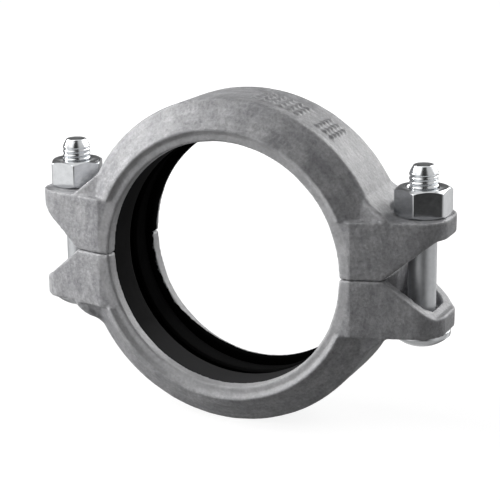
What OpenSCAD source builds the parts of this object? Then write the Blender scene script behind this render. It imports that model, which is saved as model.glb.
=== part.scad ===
// Flexible grooved coupling: two cast housing segments hold a rubber gasket
// round two grooved pipe ends, and two track bolts with hex nuts draw them together.
// The pipe runs along Y through the origin, the bolts stand along Z, and the bolt
// pads point along X. The middle plane z = 0 is where the two segments meet.

/* [Pipe] */
// Diameter at the bottom of the pipe's groove
groove_d = 110.1; // [108:0.1:112]
// Gap between a key and the bottom of the groove
key_play = 0.35; // [0.2:0.05:0.8]

/* [Housing ring] */
// Clear width between the two keys
key_gap = 37; // [34:0.5:39]
// Width of each key where it meets the pipe
key_w = 5.8; // [4.5:0.1:6.5]
// Depth of the gasket channel outside the keys
channel_depth = 11.8; // [10.5:0.1:13]
// Width of the channel's floor
channel_floor_w = 27; // [24:0.5:29]
// How much each side of the channel closes in by its middle depth
channel_draft = 0.4; // [0.2:0.1:0.8]
// Chamfer in the corners of the channel's floor
channel_chamfer = 0.8; // [0.4:0.1:1.5]
// Metal outside the channel's floor
ring_wall = 6; // [5:0.25:7.5]
// Width of the flat outside band
crown_w = 33.6; // [30:0.1:35]
// Radial width of the flat part of the front face
face_w = 3.3; // [2.5:0.1:4]
// Radial width of the bevel outside the flat face
bevel_w = 2; // [1.5:0.1:2.5]
// How far the bevel rises to the ridge
bevel_rise = 2; // [1.2:0.1:2.4]
// Rounding of the crown's two edges
crown_round = 2; // [1:0.2:5]
// Gap between the two segments in the middle plane
part_gap = 0.3; // [0.2:0.1:0.8]

/* [Bolt pads] */
// Distance between the two bolts
bolt_span = 168.7; // [166:0.1:176]
// Height of a pad's outer face above the middle plane
pad_h = 25.2; // [24:0.2:28]
// Distance from the bolt's axis to the pad's outer end
pad_reach = 12.8; // [12:0.1:15]
// Radius of the pad's two outer corners, seen along the bolt
pad_corner_r = 13.4; // [12.5:0.1:14]
// Width of the flat strip between the pipe opening and the pad's inner edge
strip_w = 4.8; // [3.5:0.1:6]
// Width over the pad's two flanks at its inner edge
root_w = 50.8; // [48:0.2:52]
// Angle at which each flank tapers towards the outer end
flank_angle = 15.5; // [13:0.5:17]
// Thickness of the pad's flank webs and end wall
web_t = 5.6; // [5:0.2:6.5]
// Thickness of the pad's floor under the nut
floor_t = 6; // [5:0.2:7]
// Height of the rim at the pad's outer end
rim_h = 8.2; // [7.5:0.1:10]
// Distance from the bolt's axis in to where the webs reach the middle plane
web_toe = 11.3; // [9.5:0.1:12]
// Slope of the webs' free edges
web_slope = 39; // [34:1:42]
// Distance from the bolt's axis in to the gusset's foot
gusset_foot = 8.8; // [7:0.2:10]
// Slope of the gusset between pad and ring
gusset_slope = 40; // [36:1:46]

/* [Bolts and nuts] */
// Bolt diameter
bolt_d = 12.7; // [12:0.05:13]
// Bolt length under the head
bolt_len = 72.4; // [70:0.1:78]
// Diameter of the bolt's round head
head_d = 25.4; // [24:0.2:27]
// Height of the bolt's head
head_h = 7.8; // [7:0.1:9]
// Height of the straight rim below the head's dome
head_rim = 2.3; // [1.5:0.1:3]
// Length of the oval neck under the head, across the bolt
neck_l = 16.4; // [15:0.1:17]
// Width of the oval neck
neck_w = 13.5; // [13:0.1:14]
// Play of the oval neck in its slot, on each side
neck_play = 0.4; // [0.3:0.1:0.8]
// Diameter of the flat at the bolt's end
end_d = 8.6; // [8:0.1:10]
// Length of the bolt's tapered end
end_l = 3.8; // [3:0.1:5]
// Rounding between the taper and the flat end
end_round = 0.8; // [0.5:0.1:1.2]
// Width of a nut across its flats
nut_af = 22.2; // [21:0.1:23]
// Height of a nut
nut_h = 12.3; // [11:0.1:13]
// Angle of the chamfer on a nut's corners
nut_chamfer = 30; // [20:1:35]
// Running clearance between nut and bolt, on the radius
thread_play = 0.05; // [0.02:0.01:0.1]
// Clear ring that is faced on the pad round the nut's corners
spot_play = 1.3; // [0.8:0.1:2]
// How far the left nut is turned
left_nut_turn = 52; // [0:1:60]
// How far the right nut is turned
right_nut_turn = 28; // [0:1:60]

/* [Gasket] */
// Gap between the gasket and the channel
gasket_play = 0.3; // [0.3:0.05:0.5]
// Gap between the lips' edges and the pipe path
lip_play = 0.4; // [0.3:0.05:0.8]
// Gap between the two lips
lip_gap = 6.4; // [5:0.2:9]
// Thickness of the gasket's back
gasket_back = 3.6; // [3:0.2:4.5]
// Thickness of the gasket's side walls and lips
gasket_side = 3.2; // [2.6:0.2:3.8]
// Thickness of a lip at its edge
lip_t = 1.9; // [1.4:0.1:2.4]
// Bevel on the edge of a lip
lip_bevel = 0.6; // [0.3:0.1:0.9]

/* [Hidden] */
$fn = 96;

iron = [0.42, 0.42, 0.43];
rubber = [0.06, 0.06, 0.065];
zinc = [0.74, 0.76, 0.78];

// A reach that is past every solid, for cutting tools
past = 200;
// How far solids that are joined run into each other
overlap = 1;

key_r = groove_d / 2 + key_play;
key_in = key_gap / 2;
key_out = key_in + key_w;
channel_r = key_r + channel_depth;
ring_r = channel_r + ring_wall;
crown_half = crown_w / 2;
face_r = key_r + face_w;
ridge_r = face_r + bevel_w;
ridge_y = key_out + bevel_rise;

bolt_x = bolt_span / 2;
pad_end = bolt_x + pad_reach;
root_x = key_r + strip_w;
root_y = root_w / 2;
rim_z = pad_h - rim_h;
pocket_z = pad_h - floor_t;
toe_x = bolt_x - web_toe;
foot_x = bolt_x - gusset_foot;
nut_r = nut_af / 2 / cos(30);
spot_r = nut_r + spot_play;
bore_r = bolt_d / 2 + thread_play;
// Where the pad's flat strip starts at the height of the pad's outer face
strip_x = sqrt(key_r * key_r - pad_h * pad_h);
// Radius at half the channel's depth
mid_r = key_r + channel_depth / 2;

// Points on an arc from angle a0 to a1, round the point c
function arc(c, r, a0, a1, n = 6) =
    [for (i = [0 : n]) c + r * [cos(a0 + (a1 - a0) * i / n), sin(a0 + (a1 - a0) * i / n)]];

// The same points in the other half of a symmetric outline, in reversed order
function mirrored(p) = [for (i = [len(p) - 1 : -1 : 0]) [p[i].x, -p[i].y]];

// Distance from the middle plane of the pipe's axis to the pad's flank at x
function flank_y(x) = root_y - (x - root_x) * tan(flank_angle);

// Half of the pad's outline seen along the bolt, moved inwards by d and starting at x0:
// the flank runs out to a round corner, and a short flat end joins the two corners
function pad_half(d, x0) = let (
    cx = pad_end - pad_corner_r,
    cy = flank_y(cx) - pad_corner_r / cos(flank_angle)
) concat(
    [[x0, flank_y(x0) - d / cos(flank_angle)]],
    arc([cx, cy], pad_corner_r - d, 90 - flank_angle, 0, 8)
);

// An oval with two round ends, along X
function oval(l, w) =
    concat(arc([(l - w) / 2, 0], w / 2, -90, 90, 12), arc([(w - l) / 2, 0], w / 2, 90, 270, 12));

module along_pipe() { rotate([90, 0, 0]) children(); }

// Section of the ring above the pipe axis, before the gasket channel is cut
module ring_section() {
    turn = atan2(ring_r - ridge_r, ridge_y - crown_half);
    set_back = crown_round * tan(turn / 2);
    half = concat(
        [[key_r - overlap, key_out], [face_r, key_out], [ridge_r, ridge_y]],
        arc([ring_r - crown_round, crown_half - set_back], crown_round, turn, 0, 5)
    );
    polygon(concat(half, mirrored(half)));
}

// Section of the gasket channel, open towards the pipe
module channel_section() {
    floor_y = channel_floor_w / 2;
    half = [[key_r - overlap, key_in], [mid_r, key_in - channel_draft],
            [channel_r - channel_chamfer, floor_y + channel_chamfer], [channel_r, floor_y]];
    polygon(concat(half, mirrored(half)));
}

module half_ring() {
    along_pipe() rotate_extrude(angle = 180, $fn = 120) ring_section();
}

// The part of a pad that stands out from the ring on the right
module pad_block() {
    outline = concat([[strip_x, key_out], [root_x, root_y]], pad_half(0, foot_x));
    linear_extrude(pad_h) polygon(concat(outline, mirrored(outline)));
}

// Takes the ring's ridge off beside a pad, down to the flat strip and the flanks
module strip_cut() {
    for (side = [-1, 1])
        linear_extrude(pad_h)
            polygon([[0, side * key_out], [strip_x, side * key_out], [root_x, side * root_y],
                     [ring_r, side * flank_y(ring_r)], [ring_r, side * past], [0, side * past]]);
}

// The slanting gusset between the ring's crown and the pad's outer face
module gusset() {
    rise = (foot_x - ridge_r) * tan(gusset_slope);
    foot_y = flank_y(foot_x);
    intersection() {
        along_pipe() translate([0, 0, -past / 2]) linear_extrude(past)
            polygon([[ridge_r - overlap, pad_h - overlap], [foot_x, pad_h - overlap], [foot_x, pad_h],
                     [ridge_r, pad_h + rise]]);
        translate([0, 0, pad_h]) rotate([90, 0, 90]) linear_extrude(past)
            polygon([[-foot_y, -overlap], [foot_y, -overlap], [foot_y, 0], [crown_half, rise],
                     [-crown_half, rise], [-foot_y, 0]]);
    }
}

// The pocket between the flank webs, and the open side below their free edges
module pad_cuts() {
    pocket = pad_half(web_t, ridge_r + overlap);
    translate([0, 0, -overlap]) linear_extrude(pocket_z + overlap)
        polygon(concat(pocket, mirrored(pocket)));
    along_pipe() translate([0, 0, -past / 2]) linear_extrude(past)
        polygon([[toe_x - overlap / tan(web_slope), -overlap], [toe_x + rim_z / tan(web_slope), rim_z],
                 [past, rim_z], [past, -overlap]]);
}

// One cast segment: half ring, two bolt pads and their gussets
module housing() {
    difference() {
        union() {
            difference() {
                half_ring();
                for (side = [0, 1]) mirror([side, 0, 0]) strip_cut();
            }
            for (side = [0, 1]) mirror([side, 0, 0]) difference() {
                union() {
                    pad_block();
                    gusset();
                }
                pad_cuts();
            }
        }
        along_pipe() rotate_extrude($fn = 120) channel_section();
        along_pipe() translate([0, 0, -past / 2]) cylinder(r = key_r, h = past);
        for (side = [-1, 1]) translate([side * bolt_x, 0, 0]) {
            translate([0, 0, pad_h]) cylinder(r = spot_r, h = past);
            translate([0, 0, pocket_z - overlap]) linear_extrude(past)
                polygon(oval(neck_l + 2 * neck_play, neck_w + 2 * neck_play));
        }
        translate([-past / 2, -past / 2, part_gap / 2 - past]) cube(past);
    }
}

module upper_housing() { color(iron) housing(); }

module lower_housing() { color(iron) rotate([0, 180, 0]) housing(); }

// C-shaped rubber seal with two lips that slope in towards the pipe
module gasket() {
    back_r = channel_r - gasket_play;
    back_y = channel_floor_w / 2 - gasket_play;
    side_y = key_in - channel_draft - gasket_play;
    nose_r = key_r + gasket_side;
    lip_r = key_r + lip_play;
    lip_y = lip_gap / 2;
    half = [[back_r, back_y], [mid_r, side_y], [nose_r, side_y], [lip_r, lip_y + lip_bevel],
            [lip_r + lip_bevel / 3, lip_y], [lip_r + lip_t, lip_y],
            [nose_r + lip_t, side_y - gasket_side - lip_bevel], [mid_r, side_y - gasket_side],
            [back_r - gasket_back, back_y - gasket_side]];
    color(rubber) along_pipe() rotate_extrude($fn = 160) polygon(concat(half, mirrored(half)));
}

// Track bolt with its round head below, an oval neck and a bullet-shaped end
module bolt() {
    dome_h = head_h - head_rim;
    dome_r = (pow(head_d / 2, 2) + pow(dome_h, 2)) / (2 * dome_h);
    top = bolt_len - pad_h;
    lean = atan2(end_l, (bolt_d - end_d) / 2);
    color(zinc) {
        translate([0, 0, -pad_h - head_h]) intersection() {
            cylinder(d = head_d, h = head_h);
            translate([0, 0, dome_r]) sphere(r = dome_r);
        }
        translate([0, 0, -pad_h - overlap]) linear_extrude(floor_t + overlap)
            polygon(oval(neck_l, neck_w));
        rotate_extrude($fn = 64) polygon(concat(
            [[0, -pad_h - overlap], [bolt_d / 2, -pad_h - overlap], [bolt_d / 2, top - end_l]],
            arc([end_d / 2, top - end_round], end_round, 90 - lean, 90, 4), [[0, top]]));
    }
}

// Hex nut with both faces chamfered, standing on its lower face
module nut(turn) {
    reach = nut_r + overlap;
    drop = (reach - nut_af / 2) * tan(nut_chamfer);
    color(zinc) rotate([0, 0, turn]) difference() {
        intersection() {
            cylinder(r = nut_r, h = nut_h, $fn = 6);
            rotate_extrude()
                polygon([[0, 0], [nut_af / 2, 0], [reach, drop], [reach, nut_h - drop],
                         [nut_af / 2, nut_h], [0, nut_h]]);
        }
        translate([0, 0, -overlap]) cylinder(r = bore_r, h = nut_h + 2 * overlap);
    }
}

module bolt_left() { translate([-bolt_x, 0, 0]) bolt(); }

module bolt_right() { translate([bolt_x, 0, 0]) bolt(); }

module nut_left() { translate([-bolt_x, 0, pad_h]) nut(left_nut_turn); }

module nut_right() { translate([bolt_x, 0, pad_h]) nut(right_nut_turn); }

upper_housing();
lower_housing();
gasket();
bolt_left();
bolt_right();
nut_left();
nut_right();
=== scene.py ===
import math

import bmesh
import bpy
import numpy as np
from mathutils import Matrix, Vector


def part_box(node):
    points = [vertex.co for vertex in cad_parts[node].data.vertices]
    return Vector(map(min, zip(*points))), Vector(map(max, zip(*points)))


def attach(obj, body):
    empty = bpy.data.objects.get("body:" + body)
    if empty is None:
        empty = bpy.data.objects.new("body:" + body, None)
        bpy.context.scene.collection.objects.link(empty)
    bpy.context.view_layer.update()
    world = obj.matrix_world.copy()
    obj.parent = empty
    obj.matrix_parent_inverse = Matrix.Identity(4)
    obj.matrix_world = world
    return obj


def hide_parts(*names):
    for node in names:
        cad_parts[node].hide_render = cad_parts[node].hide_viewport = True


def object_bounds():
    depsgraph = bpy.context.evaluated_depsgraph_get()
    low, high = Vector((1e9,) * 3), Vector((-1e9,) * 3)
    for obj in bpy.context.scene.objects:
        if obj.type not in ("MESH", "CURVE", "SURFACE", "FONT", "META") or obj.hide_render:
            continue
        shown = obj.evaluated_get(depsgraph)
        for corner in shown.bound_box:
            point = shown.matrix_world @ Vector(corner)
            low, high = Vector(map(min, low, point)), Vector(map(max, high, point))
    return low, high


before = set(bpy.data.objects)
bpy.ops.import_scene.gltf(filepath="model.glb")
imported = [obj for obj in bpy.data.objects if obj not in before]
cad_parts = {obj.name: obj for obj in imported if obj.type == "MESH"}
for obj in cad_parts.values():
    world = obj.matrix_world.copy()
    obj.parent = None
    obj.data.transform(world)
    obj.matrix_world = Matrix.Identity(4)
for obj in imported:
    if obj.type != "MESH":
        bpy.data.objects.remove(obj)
cad_box = [list(corner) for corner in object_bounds()]


# Housing segments. Each is one ductile iron casting from a sand mould: half a ring with a
# key on each side, two bolt pads and their gussets. The casting is tumbled, which rounds
# its edges, and dipped in thin grey enamel that lets the grain of the sand show.
mm = 0.001
casting_voxel = 0.7 * mm
casting_smoothing = 3
weld_distance = 0.001 * mm
waviness = 0.1 * mm
enamel_build = 0.12 * mm
# The skin's waves, whose directions and phases are drawn from one seed
wave_seed = 7
wave_lengths = (7 * mm, 16 * mm)
wave_count = 28
# A raised bead of metal runs down both edges of one gusset of each segment, in mm. It is
# thinner at its ends, by this share of its radius
bead_top = (64.2, 18.3, 32.6)
bead_foot = (75.2, 21.1, 25.9)
bead_r = 1.7
bead_end = 0.35
bead_steps, bead_facets = 8, 10
# Two fields of plain raised pips stand on the crown, where a foundry puts its marks. Each
# row gives the first and last angle round the ring and the count, then the first and last
# place along the pipe and the count. Angles in degrees, the rest in mm
pip_fields = (
    (65.5, 82.0, 6, -9.0, 3.5, 4),
    (51.5, 57.5, 3, -8.0, 6.5, 5),
)
pip_foot, pip_top, pip_r = 71.9, 74.5, 1.35


def link(piece):
    bpy.context.scene.collection.objects.link(piece)
    return piece


def linear(hex_code):
    """An sRGB hex colour as linear RGBA."""
    parts = [int(hex_code[i : i + 2], 16) / 255 for i in (1, 3, 5)]
    return [c / 12.92 if c <= 0.04045 else ((c + 0.055) / 1.055) ** 2.4 for c in parts] + [1]


def add_node(tree, kind, inputs=None, **settings):
    """Adds a node. Each input is a plain value, or the output socket that feeds it."""
    node = tree.nodes.new(kind)
    for name, value in settings.items():
        setattr(node, name, value)
    for name, value in (inputs or {}).items():
        if isinstance(value, bpy.types.NodeSocket):
            tree.links.new(value, node.inputs[name])
        else:
            node.inputs[name].default_value = value
    return node


def new_material(name):
    material = bpy.data.materials.new(name)
    material.use_nodes = True
    tree = material.node_tree
    tree.nodes.clear()
    return material, tree


def enamelled_iron():
    """Dipped enamel on sand-cast iron: satin grey, cloudy where the film is thicker, mottled
    by the sand under it, with a painted highlight on the edges that also stands for their
    wear, a painted highlight on the key and its bevel, and painted shade inside the rear key."""
    material, tree = new_material("grey enamel on cast iron")
    place = add_node(tree, "ShaderNodeTexCoord").outputs["Object"]
    # Clouds in the film, about 9 mm across
    cloud = add_node(
        tree,
        "ShaderNodeTexNoise",
        {"Vector": place, "Scale": 1 / (9 * mm), "Detail": 3.0, "Roughness": 0.55},
    )
    # Sand grain is about 0.4 mm; it is drawn at 1.3 mm so that it shows at this size
    grain = add_node(
        tree,
        "ShaderNodeTexNoise",
        {"Vector": place, "Scale": 1 / (1.3 * mm), "Detail": 4.0, "Roughness": 0.65},
    )
    # Patches where sand burnt on, 2 to 4 mm across, are darker
    patches = add_node(
        tree,
        "ShaderNodeTexNoise",
        {"Vector": place, "Scale": 1 / (3.4 * mm), "Detail": 5.0, "Roughness": 0.65},
    )
    # The pattern's turning marks run round the ring: about 2 mm apart and 20 mm long
    parts = add_node(tree, "ShaderNodeSeparateXYZ", {"Vector": place})
    flat = add_node(
        tree,
        "ShaderNodeCombineXYZ",
        {"X": parts.outputs["X"], "Y": parts.outputs["Z"]},
    )
    angle = add_node(
        tree, "ShaderNodeTexGradient", {"Vector": flat.outputs["Vector"]}, gradient_type="RADIAL"
    )
    along = add_node(
        tree,
        "ShaderNodeMath",
        {0: angle.outputs["Fac"], 1: 45 * mm},
        operation="MULTIPLY",
    )
    radius = add_node(
        tree, "ShaderNodeVectorMath", {0: flat.outputs["Vector"]}, operation="LENGTH"
    )
    round_place = add_node(
        tree,
        "ShaderNodeCombineXYZ",
        {
            "X": radius.outputs["Value"],
            "Y": parts.outputs["Y"],
            "Z": along.outputs["Value"],
        },
    )
    streaks = add_node(
        tree,
        "ShaderNodeTexNoise",
        {
            "Vector": round_place.outputs["Vector"],
            "Scale": 1 / (2.2 * mm),
            "Detail": 4.0,
            "Roughness": 0.6,
        },
    )
    film = add_node(
        tree,
        "ShaderNodeValToRGB",
        {"Fac": cloud.outputs["Fac"]},
    )
    film.color_ramp.elements[0].position = 0.36
    film.color_ramp.elements[0].color = linear("#97979a")
    film.color_ramp.elements[1].position = 0.66
    film.color_ramp.elements[1].color = linear("#aeaeb0")
    skin = film.outputs["Color"]
    for texture, strength in ((patches, 0.2), (streaks, 0.16), (grain, 0.28)):
        contrast = add_node(
            tree,
            "ShaderNodeMapRange",
            {"Value": texture.outputs["Fac"], "From Min": 0.28, "From Max": 0.72},
        )
        layer = add_node(
            tree,
            "ShaderNodeMix",
            {"Factor": strength, "A": skin, "B": contrast.outputs["Result"]},
            data_type="RGBA",
            blend_type="OVERLAY",
        )
        skin = layer.outputs["Result"]
    # Painted highlight: the edges are made lighter, which also stands for wear where tumbling rubbed
    # them
    edge = add_node(
        tree,
        "ShaderNodeMapRange",
        {
            "Value": add_node(tree, "ShaderNodeNewGeometry").outputs["Pointiness"],
            "From Min": 0.515,
            "From Max": 0.56,
            "To Min": 0.0,
            "To Max": 0.2,
        },
    )
    edge_highlight_and_wear = add_node(
        tree,
        "ShaderNodeMix",
        {"Factor": edge.outputs["Result"], "A": skin, "B": linear("#cfcfd0")},
        data_type="RGBA",
    )
    # Painted highlight: the key and its bevel are made brighter
    key_highlight = add_node(
        tree,
        "ShaderNodeMapRange",
        {
            "Value": radius.outputs["Value"],
            "From Min": 59.8 * mm,
            "From Max": 60.8 * mm,
            "To Min": 0.36,
            "To Max": 0.0,
        },
    )
    key_highlight_skin = add_node(
        tree,
        "ShaderNodeMix",
        {
            "Factor": key_highlight.outputs["Result"],
            "A": edge_highlight_and_wear.outputs["Result"],
            "B": linear("#d0d0d1"),
        },
        data_type="RGBA",
    )
    # Painted shade: the inside of the rear key, where shadow falls, is coloured near black
    behind = add_node(
        tree,
        "ShaderNodeMapRange",
        {"Value": parts.outputs["Y"], "From Min": 10 * mm, "From Max": 16 * mm},
    )
    inside = add_node(
        tree,
        "ShaderNodeMapRange",
        {
            "Value": radius.outputs["Value"],
            "From Min": 61.5 * mm,
            "From Max": 62.0 * mm,
            "To Min": 1.0,
            "To Max": 0.0,
        },
    )
    # The painted shade reaches the outer edge of the upper key. On the lower key's bore it stops
    # short, with an uneven border
    reach = add_node(
        tree,
        "ShaderNodeMapRange",
        {
            "Value": parts.outputs["Z"],
            "From Min": -1 * mm,
            "From Max": 1 * mm,
            "To Min": 18.9 * mm,
            "To Max": 22.9 * mm,
        },
    )
    # At the bottom of the bore the painted shade reaches further back towards the edge
    bottom_shade_reach = add_node(
        tree,
        "ShaderNodeMapRange",
        {
            "Value": parts.outputs["Z"],
            "From Min": -34 * mm,
            "From Max": -50 * mm,
            "To Min": 0.0,
            "To Max": 3.9 * mm,
        },
    )
    edge_reach = add_node(
        tree,
        "ShaderNodeMath",
        {0: reach.outputs["Result"], 1: bottom_shade_reach.outputs["Result"]},
        operation="ADD",
    )
    shade_border = add_node(
        tree,
        "ShaderNodeMath",
        {0: patches.outputs["Fac"], 1: 2.4 * mm, 2: edge_reach.outputs["Value"]},
        operation="MULTIPLY_ADD",
    )
    shade_margin = add_node(
        tree,
        "ShaderNodeMath",
        {0: shade_border.outputs["Value"], 1: parts.outputs["Y"]},
        operation="SUBTRACT",
    )
    within = add_node(
        tree,
        "ShaderNodeMapRange",
        {
            "Value": shade_margin.outputs["Value"],
            "From Min": 0.9 * mm,
            "From Max": 1.5 * mm,
        },
    )
    shade_zone = add_node(
        tree,
        "ShaderNodeMath",
        {0: behind.outputs["Result"], 1: inside.outputs["Result"]},
        operation="MULTIPLY",
    )
    painted_shade = add_node(
        tree,
        "ShaderNodeMath",
        {0: shade_zone.outputs["Value"], 1: within.outputs["Result"]},
        operation="MULTIPLY",
    )
    shaded_skin = add_node(
        tree,
        "ShaderNodeMix",
        {
            "Factor": painted_shade.outputs["Value"],
            "A": key_highlight_skin.outputs["Result"],
            "B": linear("#0c0c0c"),
        },
        data_type="RGBA",
    )
    sheen = add_node(
        tree,
        "ShaderNodeMapRange",
        {"Value": grain.outputs["Fac"], "To Min": 0.34, "To Max": 0.46},
    )
    height = add_node(
        tree,
        "ShaderNodeMath",
        {0: grain.outputs["Fac"], 1: patches.outputs["Fac"]},
        operation="ADD",
    )
    relief = add_node(
        tree,
        "ShaderNodeBump",
        {"Height": height.outputs["Value"], "Strength": 0.9, "Distance": 0.26 * mm},
    )
    # The specular level falls to nothing under the painted shade, so that it stays black
    shade_specular = add_node(
        tree,
        "ShaderNodeMapRange",
        {"Value": painted_shade.outputs["Value"], "To Min": 0.5, "To Max": 0.0},
    )
    enamel = add_node(
        tree,
        "ShaderNodeBsdfPrincipled",
        {
            "Base Color": shaded_skin.outputs["Result"],
            "Specular IOR Level": shade_specular.outputs["Result"],
            "Roughness": sheen.outputs["Result"],
            "Normal": relief.outputs["Normal"],
            "IOR": 1.5,
        },
    )
    add_node(tree, "ShaderNodeOutputMaterial", {"Surface": enamel.outputs["BSDF"]})
    return material


def add_bead(shape, start, end, radius):
    """Adds a bead to a bmesh: thickest in the middle, round in section, closed at its ends."""
    start, end = Vector(start), Vector(end)
    along = (end - start).normalized()
    aside = along.orthogonal().normalized()
    across = along.cross(aside)
    rings = []
    for k in range(bead_steps + 1):
        t = k / bead_steps
        r = radius * (bead_end + (1 - bead_end) * math.sin(math.pi * t))
        middle = start.lerp(end, t)
        ring = []
        for j in range(bead_facets):
            a = 2 * math.pi * j / bead_facets
            point = middle + r * (math.cos(a) * aside + math.sin(a) * across)
            ring.append(shape.verts.new(point * mm))
        rings.append(ring)
    for low, high in zip(rings, rings[1:]):
        for j in range(bead_facets):
            i = (j + 1) % bead_facets
            shape.faces.new((low[j], low[i], high[i], high[j]))
    shape.faces.new(rings[0][::-1])
    shape.faces.new(rings[-1])


def tumbled_casting(node, name, material, half):
    """The CAD casting with its edges rounded, its skin slightly wavy and the enamel's build
    on it, within its own box. Half is 1 for the upper segment and -1 for the lower one."""
    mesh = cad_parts[node].data.copy()
    welded = bmesh.new()
    welded.from_mesh(mesh)
    bmesh.ops.remove_doubles(welded, verts=welded.verts, dist=weld_distance)
    for side in (1, -1):
        top, foot = [(x * half, y * side, z * half) for x, y, z in (bead_top, bead_foot)]
        add_bead(welded, top, foot, bead_r)
    for first, last, count, near, far, rows in pip_fields:
        for angle in np.radians(np.linspace(first, last, count)):
            for y in np.linspace(near, far, rows):
                out = Vector((math.cos(angle) * half, 0, math.sin(angle) * half))
                shift = Vector((0, y, 0))
                add_bead(welded, out * pip_foot + shift, out * pip_top + shift, pip_r)
    bmesh.ops.recalc_face_normals(welded, faces=welded.faces)
    welded.to_mesh(mesh)
    welded.free()
    casting = link(bpy.data.objects.new(name, mesh))
    skin = casting.modifiers.new("skin", "REMESH")
    skin.mode = "VOXEL"
    skin.voxel_size = casting_voxel
    tumble = casting.modifiers.new("tumble", "SMOOTH")
    tumble.factor = 0.5
    tumble.iterations = casting_smoothing
    shaped = bpy.data.meshes.new_from_object(
        casting.evaluated_get(bpy.context.evaluated_depsgraph_get())
    )
    casting.modifiers.clear()
    casting.data = shaped
    shaped.name = name
    points = np.array([v.co for v in shaped.vertices])
    normals = np.array([v.normal for v in shaped.vertices])
    random = np.random.default_rng(wave_seed)
    wave = np.zeros(len(points))
    for _ in range(wave_count):
        direction = random.normal(size=3)
        direction /= np.linalg.norm(direction)
        length = random.uniform(*wave_lengths)
        wave += np.sin(points @ direction * (2 * math.pi / length) + random.uniform(0, 6.28))
    wave = np.clip(wave / math.sqrt(wave_count) / 2 + 0.5, 0, 1)
    points += normals * (enamel_build - wave * waviness)[:, None]
    points = np.clip(points, *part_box(node))
    shaped.vertices.foreach_set("co", points.ravel())
    shaped.materials.clear()
    shaped.materials.append(material)
    shaped.shade_smooth()
    shaped.update()
    return casting


enamel_on_iron = enamelled_iron()
for node, name, body, half in (
    ("upper_housing", "upper_casting", "upper_body", 1),
    ("lower_housing", "lower_casting", "lower_body", -1),
):
    casting = tumbled_casting(node, name, enamel_on_iron, half)
    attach(casting, body)
    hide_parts(node)


# Gasket. One moulded ring of EPDM rubber with a C section: its back lies in the channel of
# the housings and its two lips slope in to press on the pipe.
gasket_profile = (
    # radius, distance from the middle plane, rounding, all in mm
    (66.9, 13.2, 1.0),
    (61.3, 17.8, 0.8),
    (58.6, 17.8, 1.0),
    (55.8, 3.8, 0.3),
    (56.0, 3.2, 0.3),
    (57.7, 3.2, 0.5),
    (60.5, 14.0, 1.2),
    (61.3, 14.6, 1.2),
    (63.3, 10.0, 1.5),
)
gasket_facets = 300


def moulded_rubber():
    """EPDM from a polished mould: near black, a soft satin sheen, a faint bloom in patches."""
    material, tree = new_material("black moulded rubber")
    place = add_node(tree, "ShaderNodeTexCoord").outputs["Object"]
    # Bloom on the rubber comes in patches about 12 mm across
    bloom = add_node(
        tree,
        "ShaderNodeTexNoise",
        {"Vector": place, "Scale": 1 / (12 * mm), "Detail": 4.0, "Roughness": 0.6},
    )
    tone = add_node(tree, "ShaderNodeValToRGB", {"Fac": bloom.outputs["Fac"]})
    tone.color_ramp.elements[0].position = 0.35
    tone.color_ramp.elements[0].color = linear("#101011")
    tone.color_ramp.elements[1].position = 0.7
    tone.color_ramp.elements[1].color = linear("#1c1c1d")
    # Painted sheen: the rubber is lighter towards the bottom of the ring
    parts = add_node(tree, "ShaderNodeSeparateXYZ", {"Vector": place})
    bottom_sheen = add_node(
        tree,
        "ShaderNodeMapRange",
        {
            "Value": parts.outputs["Z"],
            "From Min": -34 * mm,
            "From Max": -58 * mm,
            "To Min": 0.0,
            "To Max": 0.7,
        },
    )
    sheened_tone = add_node(
        tree,
        "ShaderNodeMix",
        {
            "Factor": bottom_sheen.outputs["Result"],
            "A": tone.outputs["Color"],
            "B": linear("#4c4c4d"),
        },
        data_type="RGBA",
    )
    # Painted shade: the lip at the back is made blacker and its specular level falls
    depth = parts.outputs["Y"]
    rear_shade = add_node(
        tree,
        "ShaderNodeMapRange",
        {"Value": depth, "From Min": -4 * mm, "From Max": 4 * mm, "To Max": 0.8},
    )
    shade_specular = add_node(
        tree,
        "ShaderNodeMapRange",
        {"Value": rear_shade.outputs["Result"], "From Max": 0.8, "To Min": 0.06, "To Max": 0.0},
    )
    black = add_node(
        tree,
        "ShaderNodeMix",
        {"Factor": rear_shade.outputs["Result"], "A": sheened_tone.outputs["Result"], "B": linear("#0b0b0b")},
        data_type="RGBA",
    )
    # Mould marks are under 0.2 mm; they are drawn at 0.9 mm so that they show
    marks = add_node(
        tree,
        "ShaderNodeTexNoise",
        {"Vector": place, "Scale": 1 / (0.9 * mm), "Detail": 2.0},
    )
    relief = add_node(
        tree,
        "ShaderNodeBump",
        {"Height": marks.outputs["Fac"], "Strength": 0.2, "Distance": 0.06 * mm},
    )
    sheen = add_node(
        tree,
        "ShaderNodeMapRange",
        {"Value": bloom.outputs["Fac"], "To Min": 0.6, "To Max": 0.75},
    )
    rubber = add_node(
        tree,
        "ShaderNodeBsdfPrincipled",
        {
            "Base Color": black.outputs["Result"],
            "Roughness": sheen.outputs["Result"],
            "Normal": relief.outputs["Normal"],
            "IOR": 1.5,
            "Specular IOR Level": shade_specular.outputs["Result"],
        },
    )
    add_node(tree, "ShaderNodeOutputMaterial", {"Surface": rubber.outputs["BSDF"]})
    return material


def rounded_outline(corners, steps=4):
    """A closed outline of (a, b, rounding) corners, each corner replaced by a small arc."""
    outline = []
    count = len(corners)
    for i, (a, b, rounding) in enumerate(corners):
        here = np.array((a, b))
        back = np.array(corners[i - 1][:2]) - here
        ahead = np.array(corners[(i + 1) % count][:2]) - here
        back_len = np.linalg.norm(back)
        ahead_len = np.linalg.norm(ahead)
        back = back / back_len
        ahead = ahead / ahead_len
        half = math.acos(max(-1, min(1, back @ ahead))) / 2
        cut = min(rounding / math.tan(half), 0.45 * back_len, 0.45 * ahead_len)
        start = here + back * cut
        end = here + ahead * cut
        for k in range(steps + 1):
            t = k / steps
            outline.append((1 - t) ** 2 * start + 2 * t * (1 - t) * here + t * t * end)
    return outline


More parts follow.
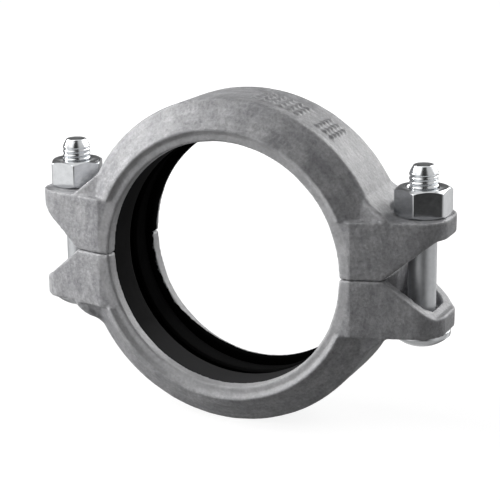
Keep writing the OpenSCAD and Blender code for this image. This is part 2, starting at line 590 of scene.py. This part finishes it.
def mesh_piece(name, verts, faces, material, crease):
    """A piece from points in metres, smooth but for edges sharper than crease degrees."""
    mesh = bpy.data.meshes.new(name)
    mesh.from_pydata([tuple(v) for v in verts], [], faces)
    mesh.validate()
    tidy = bmesh.new()
    tidy.from_mesh(mesh)
    bmesh.ops.recalc_face_normals(tidy, faces=tidy.faces)
    tidy.to_mesh(mesh)
    tidy.free()
    mesh.materials.append(material)
    mesh.shade_smooth()
    mesh.set_sharp_from_angle(angle=math.radians(crease))
    return link(bpy.data.objects.new(name, mesh))


def turned_ring(name, outline, facets, material):
    """Sweeps a closed outline of (radius, y) in mm round the pipe's axis."""
    verts = []
    faces = []
    count = len(outline)
    for i in range(facets):
        angle = 2 * math.pi * i / facets
        for radius, y in outline:
            verts.append((radius * math.cos(angle) * mm, y * mm, radius * math.sin(angle) * mm))
    for i in range(facets):
        this = i * count
        following = (i + 1) % facets * count
        for k in range(count):
            m = (k + 1) % count
            faces.append((this + k, this + m, following + m, following + k))
    return mesh_piece(name, verts, faces, material, 50)


other_side = [(r, -y, rounding) for r, y, rounding in reversed(gasket_profile)]
gasket = turned_ring(
    "rubber_gasket",
    rounded_outline(list(gasket_profile) + other_side),
    gasket_facets,
    moulded_rubber(),
)
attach(gasket, "lower_body")
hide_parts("gasket")


# Track bolts. Each is cold headed from steel rod, with a low domed head below, an oval neck
# that keeps it from turning in its slot, and a rolled thread that ends in a bullet point.
# It is zinc plated.
bolt_x = 84.35
bolt_facets = 112
rings_a_turn = 16
thread_pitch = 25.4 / 13
thread_depth = 0.34
thread_start = 19.0
crest_r = 6.35
shank_r = 6.15
head_r = 12.7
neck_length, neck_width = 16.4, 13.5
head_bottom, head_top = -33.0, -25.2
# The head has a straight rim under its dome, and the bolt's end a small round
rim_h = 2.3
neck_top = -19.2
point_start, bolt_end = 43.4, 47.2
end_r, end_round = 4.3, 0.8


def zinc_plate():
    """Bright zinc plate on steel: clear mirror-like streaks, softened where it is handled."""
    material, tree = new_material("bright zinc plate")
    place = add_node(tree, "ShaderNodeTexCoord").outputs["Object"]
    # Crystals of the plate are far below a millimetre; their clouds are drawn at 3 mm
    cloud = add_node(
        tree,
        "ShaderNodeTexNoise",
        {"Vector": place, "Scale": 1 / (3 * mm), "Detail": 4.0, "Roughness": 0.6},
    )
    tone = add_node(tree, "ShaderNodeValToRGB", {"Fac": cloud.outputs["Fac"]})
    tone.color_ramp.elements[0].position = 0.3
    tone.color_ramp.elements[0].color = linear("#d8dadc")
    tone.color_ramp.elements[1].position = 0.7
    tone.color_ramp.elements[1].color = linear("#e6e8ea")
    polish = add_node(
        tree,
        "ShaderNodeMapRange",
        {"Value": cloud.outputs["Fac"], "To Min": 0.12, "To Max": 0.26},
    )
    # The drawn shank between the pads is duller than the nuts and the thread
    parts = add_node(tree, "ShaderNodeSeparateXYZ", {"Vector": place})
    height = add_node(
        tree, "ShaderNodeMath", {0: parts.outputs["Z"]}, operation="ABSOLUTE"
    )
    dull = add_node(
        tree,
        "ShaderNodeMapRange",
        {
            "Value": height.outputs["Value"],
            "From Min": 17 * mm,
            "From Max": 20 * mm,
            "To Min": 0.26,
            "To Max": 0.0,
        },
    )
    # and a thin white bloom of zinc salts on it scatters the light
    bloom = add_node(
        tree,
        "ShaderNodeMapRange",
        {
            "Value": height.outputs["Value"],
            "From Min": 17 * mm,
            "From Max": 20 * mm,
            "To Min": 0.85,
            "To Max": 1.0,
        },
    )
    finish = add_node(
        tree,
        "ShaderNodeMath",
        {0: polish.outputs["Result"], 1: dull.outputs["Result"]},
        operation="ADD",
    )
    # Handling marks are hair fine; they are drawn 0.5 mm apart
    marks = add_node(
        tree,
        "ShaderNodeTexNoise",
        {"Vector": place, "Scale": 1 / (0.5 * mm), "Detail": 2.0},
    )
    relief = add_node(
        tree,
        "ShaderNodeBump",
        {"Height": marks.outputs["Fac"], "Strength": 0.12, "Distance": 0.03 * mm},
    )
    zinc = add_node(
        tree,
        "ShaderNodeBsdfPrincipled",
        {
            "Base Color": tone.outputs["Color"],
            "Roughness": finish.outputs["Value"],
            "Normal": relief.outputs["Normal"],
            "Metallic": bloom.outputs["Result"],
        },
    )
    add_node(tree, "ShaderNodeOutputMaterial", {"Surface": zinc.outputs["BSDF"]})
    return material


def stacked_rings(name, rings, x, material, crease, capped):
    """Joins rings of (radius, angle, z) points in mm, which stand round the axis at x. With
    capped, a point on the axis closes each end. Otherwise the last ring joins the first."""
    verts = []
    faces = []
    count = len(rings[0])
    for ring in rings:
        for radius, angle, z in ring:
            verts.append(
                ((x + radius * math.cos(angle)) * mm, radius * math.sin(angle) * mm, z * mm)
            )
    spans = len(rings) - 1 if capped else len(rings)
    for i in range(spans):
        this = i * count
        following = (i + 1) % len(rings) * count
        for k in range(count):
            m = (k + 1) % count
            faces.append((this + k, this + m, following + m, following + k))
    if capped:
        for ring, start in ((rings[0], 0), (rings[-1], (len(rings) - 1) * count)):
            verts.append((x * mm, 0.0, ring[0][2] * mm))
            tip = len(verts) - 1
            for k in range(count):
                faces.append((start + k, start + (k + 1) % count, tip))
    return mesh_piece(name, verts, faces, material, crease)


def oval_radius(angle):
    """Radius of the neck's oval, whose two ends are half circles, at an angle."""
    end = neck_width / 2
    shift = (neck_length - neck_width) / 2
    c, s = abs(math.cos(angle)), abs(math.sin(angle))
    if s * shift <= c * end and s > 0:
        straight = end / s
        if straight * c <= shift:
            return straight
    elif s > 0:
        return end / s
    return shift * c + math.sqrt(end * end - (shift * s) ** 2)


def thread_radius(angle, z):
    """Radius of the rolled thread: rounded crests and roots on 60 degree flanks."""
    turn = (z / thread_pitch - angle / (2 * math.pi)) % 1.0
    rise = abs(turn - 0.5) * 2
    groove = min(1.0, max(0.0, (rise - 0.16) / 0.62))
    groove = groove * groove * (3 - 2 * groove) * 0.35 + groove * 0.65
    grown = min(1.0, max(0.0, (z - thread_start) / (1.5 * thread_pitch)))
    return shank_r + (crest_r - thread_depth * groove - shank_r) * grown


def point_radius(z):
    """Outline of the bolt above the thread: a taper to a small flat end, rounded between."""
    if z < point_start:
        return crest_r
    t = (z - point_start) / (bolt_end - point_start)
    # Bows out a little, as a rolled point does
    return crest_r + (end_r - crest_r) * (0.75 * t + 0.25 * t * t)


def track_bolt_rings():
    angles = [2 * math.pi * k / bolt_facets for k in range(bolt_facets)]
    rings = []

    def level(radius, z):
        rings.append([(radius, a, z) for a in angles])

    dome_h = head_top - head_bottom - rim_h
    dome_r = (head_r**2 + dome_h**2) / (2 * dome_h)
    edge = math.asin(head_r / dome_r)
    for k in range(1, 19):
        a = edge * k / 18 * 0.985
        level(dome_r * math.sin(a), head_bottom + dome_r * (1 - math.cos(a)))
    # Rounded edge into the straight rim, and a small round at its top
    rim_low = head_bottom + dome_h
    for radius, z in ((head_r - 0.12, rim_low + 0.05), (head_r, rim_low + 0.45)):
        level(radius, z)
    for radius, z in ((head_r, head_top - 0.4), (head_r - 0.12, head_top - 0.12)):
        level(radius, z)
    level(head_r - 0.4, head_top)
    for grow, z in ((0.5, head_top), (0.14, head_top + 0.14), (0, head_top + 0.5)):
        rings.append([(oval_radius(a) + grow, a, z) for a in angles])
    for shrink, z in ((0, neck_top - 0.5), (0.15, neck_top - 0.15), (0.5, neck_top)):
        rings.append([(oval_radius(a) - shrink, a, z) for a in angles])
    level(shank_r + 0.3, neck_top + 0.02)
    level(shank_r, neck_top + 0.3)
    for z in np.linspace(neck_top + 2, thread_start, 10):
        level(shank_r, z)
    end_low = bolt_end - end_round
    steps = int(round((end_low - thread_start) / thread_pitch * rings_a_turn))
    for z in np.linspace(thread_start, end_low, steps + 1)[1:]:
        rings.append([(min(thread_radius(a, z), point_radius(z)), a, z) for a in angles])
    start = point_radius(end_low)
    for k in range(1, 6):
        a = math.radians(18 * k)
        level(
            start - 0.9 * (1 - math.cos(a)) - 0.05 * k,
            end_low + end_round * math.sin(a),
        )
    level(1.5, bolt_end)
    return rings


zinc = zinc_plate()
bolt_rings = track_bolt_rings()
for side, name, node in ((-1, "left_bolt", "bolt_left"), (1, "right_bolt", "bolt_right")):
    bolt = stacked_rings(name, bolt_rings, side * bolt_x, zinc, 45, True)
    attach(bolt, "lower_body")
    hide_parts(node)


# Hex nuts. Each is cold formed and tapped, with a 30 degree chamfer on both faces and a
# countersink at each end of its thread. It is zinc plated as the bolts are.
nut_flats = 22.2
nut_low, nut_top = 25.2, 37.5
nut_hole = 6.5
countersink_r, countersink_h = 7.1, 0.75
chamfer_slope = math.tan(math.radians(30))
# A higher value makes the hexagon's corners sharper
corner_sharpness = 70


def hexagon_radius(angle):
    """Radius of a hexagon with slightly rounded corners; a corner lies at angle 0."""
    total = sum(
        max(0.0, math.cos(angle - math.radians(30 + 60 * k))) ** corner_sharpness
        for k in range(6)
    )
    return nut_flats / 2 / total ** (1 / corner_sharpness)


def hex_nut_rings(turn):
    spread = [math.sin(math.pi / 2 * (k / 12 - 1)) for k in range(24)]
    angles = [math.radians(30 + 60 * f + 30 * t) for f in range(6) for t in spread]
    reach = [hexagon_radius(a) for a in angles]
    bearing_r = nut_flats / 2 * 0.965
    rings = []

    def face(z, inwards):
        """The rings of one end face, from the countersink out to the corner's edge."""
        found = [
            [(nut_hole, z + inwards * countersink_h)] * len(angles),
            [(countersink_r - 0.06, z + inwards * 0.1)] * len(angles),
            [(countersink_r + 0.1, z)] * len(angles),
            [(bearing_r - 0.25, z)] * len(angles),
            [(bearing_r, z + inwards * 0.04)] * len(angles),
        ]
        for t in (0.12, 0.4, 0.7, 0.93):
            found.append(
                [
                    (
                        bearing_r + (r - bearing_r) * t,
                        z + inwards * (0.06 + (r - bearing_r) * t * chamfer_slope),
                    )
                    for r in reach
                ]
            )
        found.append(
            [(r - 0.02, z + inwards * (0.2 + (r - bearing_r) * chamfer_slope)) for r in reach]
        )
        found.append(
            [(r, z + inwards * (0.45 + (r - bearing_r) * chamfer_slope)) for r in reach]
        )
        return found

    profile = face(nut_low, 1) + face(nut_top, -1)[::-1]
    for level in profile:
        rings.append([(r, a + turn, z) for (r, z), a in zip(level, angles)])
    return rings


for side, name, node, body, turn in (
    (-1, "left_nut_piece", "nut_left", "left_nut", 52),
    (1, "right_nut_piece", "nut_right", "right_nut", 28),
):
    rings = hex_nut_rings(math.radians(turn))
    nut = stacked_rings(name, rings, side * bolt_x, zinc, 38, False)
    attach(nut, body)
    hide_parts(node)


# Studio. The coupling stands on its lower segment on a pale floor that runs into a white
# backdrop. Soft boxes stand on the left and at the rear, and weaker ones above and right.
floor_z = cad_box[0][2]
floor_half = 4.0


def studio_floor():
    """Matt white paper: it shows white to the camera and keeps the shadow of the coupling."""
    material, tree = new_material("white paper floor")
    light_path = add_node(tree, "ShaderNodeLightPath")
    seen = add_node(
        tree,
        "ShaderNodeMath",
        {
            0: light_path.outputs["Is Camera Ray"],
            1: light_path.outputs["Is Transmission Ray"],
        },
        operation="MAXIMUM",
    )
    # The paper fades into the white backdrop half a metre away
    away = add_node(
        tree,
        "ShaderNodeVectorMath",
        {0: add_node(tree, "ShaderNodeTexCoord").outputs["Object"], 1: (0.0, 0.0, floor_z)},
        operation="DISTANCE",
    )
    paleness = add_node(
        tree,
        "ShaderNodeMapRange",
        {
            "Value": away.outputs["Value"],
            "From Min": 0.2,
            "From Max": 0.55,
            "To Min": 0.88,
            "To Max": 1.0,
        },
        interpolation_type="SMOOTHSTEP",
    )
    glow_level = add_node(
        tree,
        "ShaderNodeMath",
        {0: seen.outputs[0], 1: paleness.outputs["Result"]},
        operation="MULTIPLY",
    )
    paper = add_node(tree, "ShaderNodeBsdfDiffuse", {"Color": linear("#808080")})
    glow = add_node(
        tree,
        "ShaderNodeEmission",
        {"Color": linear("#ffffff"), "Strength": glow_level.outputs[0]},
    )
    both = add_node(
        tree, "ShaderNodeAddShader", {0: paper.outputs["BSDF"], 1: glow.outputs["Emission"]}
    )
    add_node(tree, "ShaderNodeOutputMaterial", {"Surface": both.outputs["Shader"]})
    return material


corners = [(x * floor_half, y * floor_half, floor_z) for x, y in ((-1, -1), (1, -1), (1, 1), (-1, 1))]
floor_mesh = bpy.data.meshes.new("paper_floor")
floor_mesh.from_pydata(corners, [], [(0, 1, 2, 3)])
floor_mesh.materials.append(studio_floor())
floor = link(bpy.data.objects.new("paper_floor", floor_mesh))
floor.visible_glossy = False


def soft_box(name, azimuth, elevation, distance, width, level, on_metal=True):
    """A square soft box that faces the coupling. A surface that faces it is lit to level."""
    lamp = bpy.data.lights.new(name, "AREA")
    lamp.shape = "SQUARE"
    lamp.size = width
    lamp.energy = math.pi**2 * distance**2 * level
    box = link(bpy.data.objects.new(name, lamp))
    a, e = math.radians(azimuth), math.radians(elevation)
    way = Vector((math.cos(e) * math.sin(a), -math.cos(e) * math.cos(a), math.sin(e)))
    box.location = way * distance
    box.rotation_euler = way.to_track_quat("Z", "Y").to_euler()
    box.visible_camera = False
    box.visible_glossy = on_metal
    return box


soft_box("left_box", -64, 11, 1.2, 0.8, 0.92, on_metal=False)
soft_box("high_left_box", -87, 31, 1.2, 0.5, 0.52)
soft_box("high_front_box", -35, 54, 1.2, 1.0, 0.2)
soft_box("right_box", 42, 35, 1.2, 1.0, 0.07, on_metal=False)
soft_box("rear_box", 161, 22, 1.2, 0.8, 0.42)
soft_box("rear_right_box", 136, 36, 1.2, 0.9, 0.34)


def ring_of_cards(tree, way, cards):
    """Cards and flags round the table. Each is an angle from +X towards +Y, and its level."""
    round_table = add_node(
        tree, "ShaderNodeTexGradient", {"Vector": way}, gradient_type="RADIAL"
    )
    tone = add_node(tree, "ShaderNodeValToRGB", {"Fac": round_table.outputs["Fac"]})
    ramp = tone.color_ramp
    for angle, bright in cards[1:-1]:
        ramp.elements.new(angle / 360 + 0.5)
    for element, (angle, bright) in zip(ramp.elements, cards):
        element.color = (bright, bright, bright, 1)
    return tone.outputs["Color"]


def backdrop_world():
    """White to the camera. Metal sees white cards and black flags round the table, another
    ring of them higher up, and a white card overhead."""
    world = bpy.data.worlds.new("studio")
    world.use_nodes = True
    tree = world.node_tree
    tree.nodes.clear()
    light_path = add_node(tree, "ShaderNodeLightPath")
    way = add_node(tree, "ShaderNodeTexCoord").outputs["Generated"]
    low_cards = (
        (-180, 0.5),
        (-152, 0.58),
        (-140, 0.95),
        (-120, 0.95),
        (-106, 0.55),
        (-90, 0.32),
        (-74, 0.02),
        (-46, 0.02),
        (-36, 0.3),
        (-10, 0.6),
        (24, 0.5),
        (46, 0.4),
        (54, 0.78),
        (70, 0.78),
        (80, 0.1),
        (100, 0.1),
        (106, 0.6),
        (124, 0.6),
        (134, 0.1),
        (152, 0.1),
        (180, 0.5),
    )
    high_cards = (
        (-180, 0.5),
        (-150, 0.85),
        (-120, 0.85),
        (-98, 0.3),
        (-84, 0.02),
        (-48, 0.02),
        (-34, 0.6),
        (20, 0.7),
        (50, 0.3),
        (70, 0.12),
        (140, 0.12),
        (180, 0.5),
    )
    height = add_node(tree, "ShaderNodeSeparateXYZ", {"Vector": way}).outputs["Z"]
    above = add_node(
        tree,
        "ShaderNodeMapRange",
        {"Value": height, "From Min": 0.0, "From Max": 0.2},
    )
    overhead = add_node(
        tree,
        "ShaderNodeMapRange",
        {"Value": height, "From Min": 0.82, "From Max": 0.92},
    )
    below = add_node(
        tree,
        "ShaderNodeMapRange",
        {"Value": height, "From Min": -0.5, "From Max": -0.85},
    )
    table = add_node(
        tree,
        "ShaderNodeMix",
        {
            "Factor": below.outputs["Result"],
            "A": ring_of_cards(tree, way, low_cards),
            "B": linear("#a8a8a8"),
        },
        data_type="RGBA",
    )
    upper = add_node(
        tree,
        "ShaderNodeMix",
        {
            "Factor": overhead.outputs["Result"],
            "A": ring_of_cards(tree, way, high_cards),
            "B": linear("#f4f4f4"),
        },
        data_type="RGBA",
    )
    room = add_node(
        tree,
        "ShaderNodeMix",
        {
            "Factor": above.outputs["Result"],
            "A": table.outputs["Result"],
            "B": upper.outputs["Result"],
        },
        data_type="RGBA",
    )
    reflected = add_node(
        tree,
        "ShaderNodeMath",
        {0: light_path.outputs["Is Glossy Ray"], 1: room.outputs["Result"]},
        operation="MULTIPLY",
    )
    seen = add_node(
        tree,
        "ShaderNodeMath",
        {
            0: light_path.outputs["Is Camera Ray"],
            1: light_path.outputs["Is Transmission Ray"],
        },
        operation="MAXIMUM",
    )
    shown = add_node(
        tree,
        "ShaderNodeMath",
        {0: reflected.outputs[0], 1: seen.outputs[0]},
        operation="MAXIMUM",
    )
    level = add_node(
        tree,
        "ShaderNodeMath",
        {0: shown.outputs[0], 1: 0.04},
        operation="MAXIMUM",
    )
    air = add_node(
        tree,
        "ShaderNodeBackground",
        {"Color": linear("#ffffff"), "Strength": level.outputs[0]},
    )
    add_node(tree, "ShaderNodeOutputWorld", {"Surface": air.outputs["Background"]})
    return world


bpy.context.scene.world = backdrop_world()

# Camera. It stands 0.7 m away on a long lens, a little above the coupling and to its right,
# so that the front face, the crown and the right pads show as in the photograph.
azimuth, elevation, roll = (math.radians(a) for a in (24.03, 14.92, -0.70))
camera_distance = 702.1 * mm
aim = Vector((3.393 * mm, 0, 1.76 * mm))
ahead = Vector(
    (
        -math.sin(azimuth) * math.cos(elevation),
        math.cos(azimuth) * math.cos(elevation),
        -math.sin(elevation),
    )
)
right = Vector((math.cos(azimuth), math.sin(azimuth), 0))
up = right.cross(ahead)
level_right = math.cos(roll) * right + math.sin(roll) * up
level_up = math.cos(roll) * up - math.sin(roll) * right
lens = bpy.data.cameras.new("camera")
lens.sensor_width = 36
lens.lens = 112.34
lens.clip_start = 0.01
camera = link(bpy.data.objects.new("camera", lens))
place = aim - camera_distance * ahead
camera.matrix_world = Matrix(
    (
        (level_right.x, level_up.x, -ahead.x, place.x),
        (level_right.y, level_up.y, -ahead.y, place.y),
        (level_right.z, level_up.z, -ahead.z, place.z),
        (0, 0, 0, 1),
    )
)
bpy.context.scene.camera = camera
bpy.context.scene.view_settings.view_transform = "Standard"

# Sizes. The CAD box was taken straight after load, in metres. Here the view layer is brought up to
# date.
bpy.context.view_layer.update()
